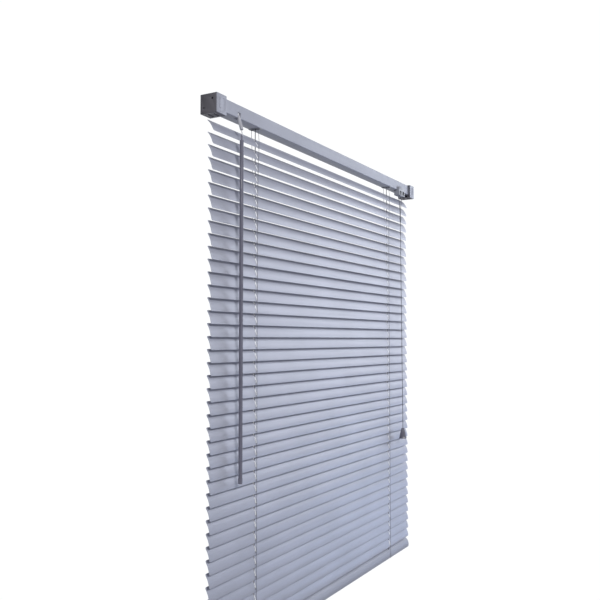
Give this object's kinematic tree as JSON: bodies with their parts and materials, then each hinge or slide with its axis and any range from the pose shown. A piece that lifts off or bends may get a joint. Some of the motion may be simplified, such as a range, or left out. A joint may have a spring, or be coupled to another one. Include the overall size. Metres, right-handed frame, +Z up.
{
  "type": "venetian blind",
  "caption": "Horizontal aluminium slat blind with a box-bracketed head rail, a wand that tilts the slats through a worm and rod, and a lift cord with a lock and tassel.",
  "frame": {"origin": "middle of the left bracket's rear face, which meets the wall or window frame", "axes": "+X along the blind from left to right seen from the room, +Y towards the wall, +Z up"},
  "size_m": [0.903, 0.0496, 0.96],
  "materials": {
    "rail_paint": "satin pale blue-grey coat on steel",
    "bracket_paint": "satin grey coat on steel",
    "slat_paint": "satin pale blue-grey baked enamel on aluminium strip",
    "housing_plastic": "moulded, fine texture",
    "drum_plastic": "moulded",
    "clear_plastic": "smoky translucent moulding",
    "steel": "zinc plated",
    "cord": "braided polyester"
  },
  "bodies": {
    "frame": {"head_rail": "rail_paint", "bracket_left": "bracket_paint", "bracket_right": "bracket_paint", "tilter_housing": "housing_plastic", "cord_lock": "housing_plastic"},
    "cover_left": {"bracket_cover_left": "rail_paint"},
    "cover_right": {"bracket_cover_right": "rail_paint"},
    "tilt_rod": {"tilt_rod": "steel", "ladder_drum_left": "drum_plastic", "ladder_drum_right": "drum_plastic"},
    "worm": {"tilter_worm": "clear_plastic"},
    "wand_hook": {"wand_hook": "steel"},
    "wand": {"wand": "clear_plastic"},
    "ladder_front": {"ladder_front": "cord"},
    "ladder_back": {"ladder_back": "cord"},
    "lift_cord": {"lift_cord_left": "cord"},
    "bottom_rail": {"bottom_rail": "rail_paint"},
    "pull_cord": {"pull_cord": "cord", "cord_tassel": "clear_plastic"},
    "slat_01": {"slat_01": "slat_paint"},
    "slat_02": {"slat_02": "slat_paint"},
    "slat_03": {"slat_03": "slat_paint"},
    "slat_04": {"slat_04": "slat_paint"},
    "slat_05": {"slat_05": "slat_paint"},
    "slat_06": {"slat_06": "slat_paint"},
    "slat_07": {"slat_07": "slat_paint"},
    "slat_08": {"slat_08": "slat_paint"},
    "slat_09": {"slat_09": "slat_paint"},
    "slat_10": {"slat_10": "slat_paint"},
    "slat_11": {"slat_11": "slat_paint"},
    "slat_12": {"slat_12": "slat_paint"},
    "slat_13": {"slat_13": "slat_paint"},
    "slat_14": {"slat_14": "slat_paint"},
    "slat_15": {"slat_15": "slat_paint"},
    "slat_16": {"slat_16": "slat_paint"},
    "slat_17": {"slat_17": "slat_paint"},
    "slat_18": {"slat_18": "slat_paint"},
    "slat_19": {"slat_19": "slat_paint"},
    "slat_20": {"slat_20": "slat_paint"},
    "slat_21": {"slat_21": "slat_paint"},
    "slat_22": {"slat_22": "slat_paint"},
    "slat_23": {"slat_23": "slat_paint"},
    "slat_24": {"slat_24": "slat_paint"},
    "slat_25": {"slat_25": "slat_paint"},
    "slat_26": {"slat_26": "slat_paint"},
    "slat_27": {"slat_27": "slat_paint"},
    "slat_28": {"slat_28": "slat_paint"},
    "slat_29": {"slat_29": "slat_paint"},
    "slat_30": {"slat_30": "slat_paint"},
    "slat_31": {"slat_31": "slat_paint"},
    "slat_32": {"slat_32": "slat_paint"},
    "slat_33": {"slat_33": "slat_paint"},
    "slat_34": {"slat_34": "slat_paint"},
    "slat_35": {"slat_35": "slat_paint"},
    "slat_36": {"slat_36": "slat_paint"},
    "slat_37": {"slat_37": "slat_paint"},
    "slat_38": {"slat_38": "slat_paint"},
    "slat_39": {"slat_39": "slat_paint"},
    "slat_40": {"slat_40": "slat_paint"},
    "slat_41": {"slat_41": "slat_paint"}
  },
  "joints": [
    {"name": "tilt", "type": "hinge", "parent": "frame", "child": "tilt_rod", "pos_m": [0.059, -0.0172, 0.0043], "axis": [1, 0, 0], "range_deg": [-130, 5]},
    {"name": "slat_01_tilt", "type": "hinge", "parent": "frame", "child": "slat_01", "pos_m": [0.426, -0.0172, -0.0355], "axis": [1, 0, 0], "range_deg": [-130, 5]},
    {"name": "slat_02_tilt", "type": "hinge", "parent": "frame", "child": "slat_02", "pos_m": [0.426, -0.0172, -0.0572], "axis": [1, 0, 0], "range_deg": [-130, 5]},
    {"name": "slat_03_tilt", "type": "hinge", "parent": "frame", "child": "slat_03", "pos_m": [0.426, -0.0172, -0.0789], "axis": [1, 0, 0], "range_deg": [-130, 5]},
    {"name": "slat_04_tilt", "type": "hinge", "parent": "frame", "child": "slat_04", "pos_m": [0.426, -0.0172, -0.1006], "axis": [1, 0, 0], "range_deg": [-130, 5]},
    {"name": "slat_05_tilt", "type": "hinge", "parent": "frame", "child": "slat_05", "pos_m": [0.426, -0.0172, -0.1223], "axis": [1, 0, 0], "range_deg": [-130, 5]},
    {"name": "slat_06_tilt", "type": "hinge", "parent": "frame", "child": "slat_06", "pos_m": [0.426, -0.0172, -0.144], "axis": [1, 0, 0], "range_deg": [-130, 5]},
    {"name": "slat_07_tilt", "type": "hinge", "parent": "frame", "child": "slat_07", "pos_m": [0.426, -0.0172, -0.1657], "axis": [1, 0, 0], "range_deg": [-130, 5]},
    {"name": "slat_08_tilt", "type": "hinge", "parent": "frame", "child": "slat_08", "pos_m": [0.426, -0.0172, -0.1874], "axis": [1, 0, 0], "range_deg": [-130, 5]},
    {"name": "slat_09_tilt", "type": "hinge", "parent": "frame", "child": "slat_09", "pos_m": [0.426, -0.0172, -0.2091], "axis": [1, 0, 0], "range_deg": [-130, 5]},
    {"name": "slat_10_tilt", "type": "hinge", "parent": "frame", "child": "slat_10", "pos_m": [0.426, -0.0172, -0.2308], "axis": [1, 0, 0], "range_deg": [-130, 5]},
    {"name": "slat_11_tilt", "type": "hinge", "parent": "frame", "child": "slat_11", "pos_m": [0.426, -0.0172, -0.2525], "axis": [1, 0, 0], "range_deg": [-130, 5]},
    {"name": "slat_12_tilt", "type": "hinge", "parent": "frame", "child": "slat_12", "pos_m": [0.426, -0.0172, -0.2742], "axis": [1, 0, 0], "range_deg": [-130, 5]},
    {"name": "slat_13_tilt", "type": "hinge", "parent": "frame", "child": "slat_13", "pos_m": [0.426, -0.0172, -0.2959], "axis": [1, 0, 0], "range_deg": [-130, 5]},
    {"name": "slat_14_tilt", "type": "hinge", "parent": "frame", "child": "slat_14", "pos_m": [0.426, -0.0172, -0.3176], "axis": [1, 0, 0], "range_deg": [-130, 5]},
    {"name": "slat_15_tilt", "type": "hinge", "parent": "frame", "child": "slat_15", "pos_m": [0.426, -0.0172, -0.3393], "axis": [1, 0, 0], "range_deg": [-130, 5]},
    {"name": "slat_16_tilt", "type": "hinge", "parent": "frame", "child": "slat_16", "pos_m": [0.426, -0.0172, -0.361], "axis": [1, 0, 0], "range_deg": [-130, 5]},
    {"name": "slat_17_tilt", "type": "hinge", "parent": "frame", "child": "slat_17", "pos_m": [0.426, -0.0172, -0.3827], "axis": [1, 0, 0], "range_deg": [-130, 5]},
    {"name": "slat_18_tilt", "type": "hinge", "parent": "frame", "child": "slat_18", "pos_m": [0.426, -0.0172, -0.4044], "axis": [1, 0, 0], "range_deg": [-130, 5]},
    {"name": "slat_19_tilt", "type": "hinge", "parent": "frame", "child": "slat_19", "pos_m": [0.426, -0.0172, -0.4261], "axis": [1, 0, 0], "range_deg": [-130, 5]},
    {"name": "slat_20_tilt", "type": "hinge", "parent": "frame", "child": "slat_20", "pos_m": [0.426, -0.0172, -0.4478], "axis": [1, 0, 0], "range_deg": [-130, 5]},
    {"name": "slat_21_tilt", "type": "hinge", "parent": "frame", "child": "slat_21", "pos_m": [0.426, -0.0172, -0.4695], "axis": [1, 0, 0], "range_deg": [-130, 5]},
    {"name": "slat_22_tilt", "type": "hinge", "parent": "frame", "child": "slat_22", "pos_m": [0.426, -0.0172, -0.4912], "axis": [1, 0, 0], "range_deg": [-130, 5]},
    {"name": "slat_23_tilt", "type": "hinge", "parent": "frame", "child": "slat_23", "pos_m": [0.426, -0.0172, -0.5129], "axis": [1, 0, 0], "range_deg": [-130, 5]},
    {"name": "slat_24_tilt", "type": "hinge", "parent": "frame", "child": "slat_24", "pos_m": [0.426, -0.0172, -0.5346], "axis": [1, 0, 0], "range_deg": [-130, 5]},
    {"name": "slat_25_tilt", "type": "hinge", "parent": "frame", "child": "slat_25", "pos_m": [0.426, -0.0172, -0.5563], "axis": [1, 0, 0], "range_deg": [-130, 5]},
    {"name": "slat_26_tilt", "type": "hinge", "parent": "frame", "child": "slat_26", "pos_m": [0.426, -0.0172, -0.578], "axis": [1, 0, 0], "range_deg": [-130, 5]},
    {"name": "slat_27_tilt", "type": "hinge", "parent": "frame", "child": "slat_27", "pos_m": [0.426, -0.0172, -0.5997], "axis": [1, 0, 0], "range_deg": [-130, 5]},
    {"name": "slat_28_tilt", "type": "hinge", "parent": "frame", "child": "slat_28", "pos_m": [0.426, -0.0172, -0.6214], "axis": [1, 0, 0], "range_deg": [-130, 5]},
    {"name": "slat_29_tilt", "type": "hinge", "parent": "frame", "child": "slat_29", "pos_m": [0.426, -0.0172, -0.6431], "axis": [1, 0, 0], "range_deg": [-130, 5]},
    {"name": "slat_30_tilt", "type": "hinge", "parent": "frame", "child": "slat_30", "pos_m": [0.426, -0.0172, -0.6648], "axis": [1, 0, 0], "range_deg": [-130, 5]},
    {"name": "slat_31_tilt", "type": "hinge", "parent": "frame", "child": "slat_31", "pos_m": [0.426, -0.0172, -0.6865], "axis": [1, 0, 0], "range_deg": [-130, 5]},
    {"name": "slat_32_tilt", "type": "hinge", "parent": "frame", "child": "slat_32", "pos_m": [0.426, -0.0172, -0.7082], "axis": [1, 0, 0], "range_deg": [-130, 5]},
    {"name": "slat_33_tilt", "type": "hinge", "parent": "frame", "child": "slat_33", "pos_m": [0.426, -0.0172, -0.7299], "axis": [1, 0, 0], "range_deg": [-130, 5]},
    {"name": "slat_34_tilt", "type": "hinge", "parent": "frame", "child": "slat_34", "pos_m": [0.426, -0.0172, -0.7516], "axis": [1, 0, 0], "range_deg": [-130, 5]},
    {"name": "slat_35_tilt", "type": "hinge", "parent": "frame", "child": "slat_35", "pos_m": [0.426, -0.0172, -0.7733], "axis": [1, 0, 0], "range_deg": [-130, 5]},
    {"name": "slat_36_tilt", "type": "hinge", "parent": "frame", "child": "slat_36", "pos_m": [0.426, -0.0172, -0.795], "axis": [1, 0, 0], "range_deg": [-130, 5]},
    {"name": "slat_37_tilt", "type": "hinge", "parent": "frame", "child": "slat_37", "pos_m": [0.426, -0.0172, -0.8167], "axis": [1, 0, 0], "range_deg": [-130, 5]},
    {"name": "slat_38_tilt", "type": "hinge", "parent": "frame", "child": "slat_38", "pos_m": [0.426, -0.0172, -0.8384], "axis": [1, 0, 0], "range_deg": [-130, 5]},
    {"name": "slat_39_tilt", "type": "hinge", "parent": "frame", "child": "slat_39", "pos_m": [0.426, -0.0172, -0.8601], "axis": [1, 0, 0], "range_deg": [-130, 5]},
    {"name": "slat_40_tilt", "type": "hinge", "parent": "frame", "child": "slat_40", "pos_m": [0.426, -0.0172, -0.8818], "axis": [1, 0, 0], "range_deg": [-130, 5]},
    {"name": "slat_41_tilt", "type": "hinge", "parent": "frame", "child": "slat_41", "pos_m": [0.426, -0.0172, -0.9035], "axis": [1, 0, 0], "range_deg": [-130, 5]},
    {"name": "worm_spin", "type": "hinge", "parent": "frame", "child": "worm", "pos_m": [0.059, -0.0246, 0.0043], "axis": [0, -0.2924, -0.9563], "range_deg": [-1820, 70]},
    {"name": "wand_swing", "type": "hinge", "parent": "frame", "child": "wand_hook", "pos_m": [0.059, -0.03515, -0.0302], "axis": [-1, 0, 0], "range_deg": [0, 70]},
    {"name": "wand_spin", "type": "hinge", "parent": "wand_hook", "child": "wand", "pos_m": [0.059, -0.03515, -0.0402], "axis": [0, 0, -1], "range_deg": [-1820, 70]},
    {"name": "ladder_front_shift", "type": "hinge", "parent": "tilt_rod", "child": "ladder_front", "pos_m": [0.1294, -0.02168, -0.00737], "axis": [1, 0, 0], "range_deg": [-5, 130]},
    {"name": "ladder_back_shift", "type": "hinge", "parent": "tilt_rod", "child": "ladder_back", "pos_m": [0.1294, -0.01272, 0.01597], "axis": [1, 0, 0], "range_deg": [-5, 130]},
    {"name": "lift", "type": "slide", "parent": "frame", "child": "lift_cord", "axis": [0, 0, 1], "range_m": [0, 0.008]},
    {"name": "bottom_rail_tilt", "type": "hinge", "parent": "lift_cord", "child": "bottom_rail", "pos_m": [0.426, -0.0172, -0.9315], "axis": [1, 0, 0], "range_deg": [-130, 5]},
    {"name": "cord_pull", "type": "slide", "parent": "frame", "child": "pull_cord", "axis": [0, 0, -1], "range_m": [0, 0.008]},
    {"name": "cover_left_slide", "type": "slide", "parent": "frame", "child": "cover_left", "axis": [0, 0, 1], "range_m": [0, 0.03]},
    {"name": "cover_right_slide", "type": "slide", "parent": "frame", "child": "cover_right", "axis": [0, 0, 1], "range_m": [0, 0.03]}
  ],
  "couplings": [
    {"joint": "slat_01_tilt", "follows": "tilt", "ratio": 1},
    {"joint": "slat_02_tilt", "follows": "tilt", "ratio": 1},
    {"joint": "slat_03_tilt", "follows": "tilt", "ratio": 1},
    {"joint": "slat_04_tilt", "follows": "tilt", "ratio": 1},
    {"joint": "slat_05_tilt", "follows": "tilt", "ratio": 1},
    {"joint": "slat_06_tilt", "follows": "tilt", "ratio": 1},
    {"joint": "slat_07_tilt", "follows": "tilt", "ratio": 1},
    {"joint": "slat_08_tilt", "follows": "tilt", "ratio": 1},
    {"joint": "slat_09_tilt", "follows": "tilt", "ratio": 1},
    {"joint": "slat_10_tilt", "follows": "tilt", "ratio": 1},
    {"joint": "slat_11_tilt", "follows": "tilt", "ratio": 1},
    {"joint": "slat_12_tilt", "follows": "tilt", "ratio": 1},
    {"joint": "slat_13_tilt", "follows": "tilt", "ratio": 1},
    {"joint": "slat_14_tilt", "follows": "tilt", "ratio": 1},
    {"joint": "slat_15_tilt", "follows": "tilt", "ratio": 1},
    {"joint": "slat_16_tilt", "follows": "tilt", "ratio": 1},
    {"joint": "slat_17_tilt", "follows": "tilt", "ratio": 1},
    {"joint": "slat_18_tilt", "follows": "tilt", "ratio": 1},
    {"joint": "slat_19_tilt", "follows": "tilt", "ratio": 1},
    {"joint": "slat_20_tilt", "follows": "tilt", "ratio": 1},
    {"joint": "slat_21_tilt", "follows": "tilt", "ratio": 1},
    {"joint": "slat_22_tilt", "follows": "tilt", "ratio": 1},
    {"joint": "slat_23_tilt", "follows": "tilt", "ratio": 1},
    {"joint": "slat_24_tilt", "follows": "tilt", "ratio": 1},
    {"joint": "slat_25_tilt", "follows": "tilt", "ratio": 1},
    {"joint": "slat_26_tilt", "follows": "tilt", "ratio": 1},
    {"joint": "slat_27_tilt", "follows": "tilt", "ratio": 1},
    {"joint": "slat_28_tilt", "follows": "tilt", "ratio": 1},
    {"joint": "slat_29_tilt", "follows": "tilt", "ratio": 1},
    {"joint": "slat_30_tilt", "follows": "tilt", "ratio": 1},
    {"joint": "slat_31_tilt", "follows": "tilt", "ratio": 1},
    {"joint": "slat_32_tilt", "follows": "tilt", "ratio": 1},
    {"joint": "slat_33_tilt", "follows": "tilt", "ratio": 1},
    {"joint": "slat_34_tilt", "follows": "tilt", "ratio": 1},
    {"joint": "slat_35_tilt", "follows": "tilt", "ratio": 1},
    {"joint": "slat_36_tilt", "follows": "tilt", "ratio": 1},
    {"joint": "slat_37_tilt", "follows": "tilt", "ratio": 1},
    {"joint": "slat_38_tilt", "follows": "tilt", "ratio": 1},
    {"joint": "slat_39_tilt", "follows": "tilt", "ratio": 1},
    {"joint": "slat_40_tilt", "follows": "tilt", "ratio": 1},
    {"joint": "slat_41_tilt", "follows": "tilt", "ratio": 1},
    {"joint": "worm_spin", "follows": "tilt", "ratio": 14},
    {"joint": "wand_spin", "follows": "tilt", "ratio": 14},
    {"joint": "ladder_front_shift", "follows": "tilt", "ratio": -1},
    {"joint": "ladder_back_shift", "follows": "tilt", "ratio": -1},
    {"joint": "bottom_rail_tilt", "follows": "tilt", "ratio": 1},
    {"joint": "cord_pull", "follows": "lift", "ratio": 1}
  ]
}
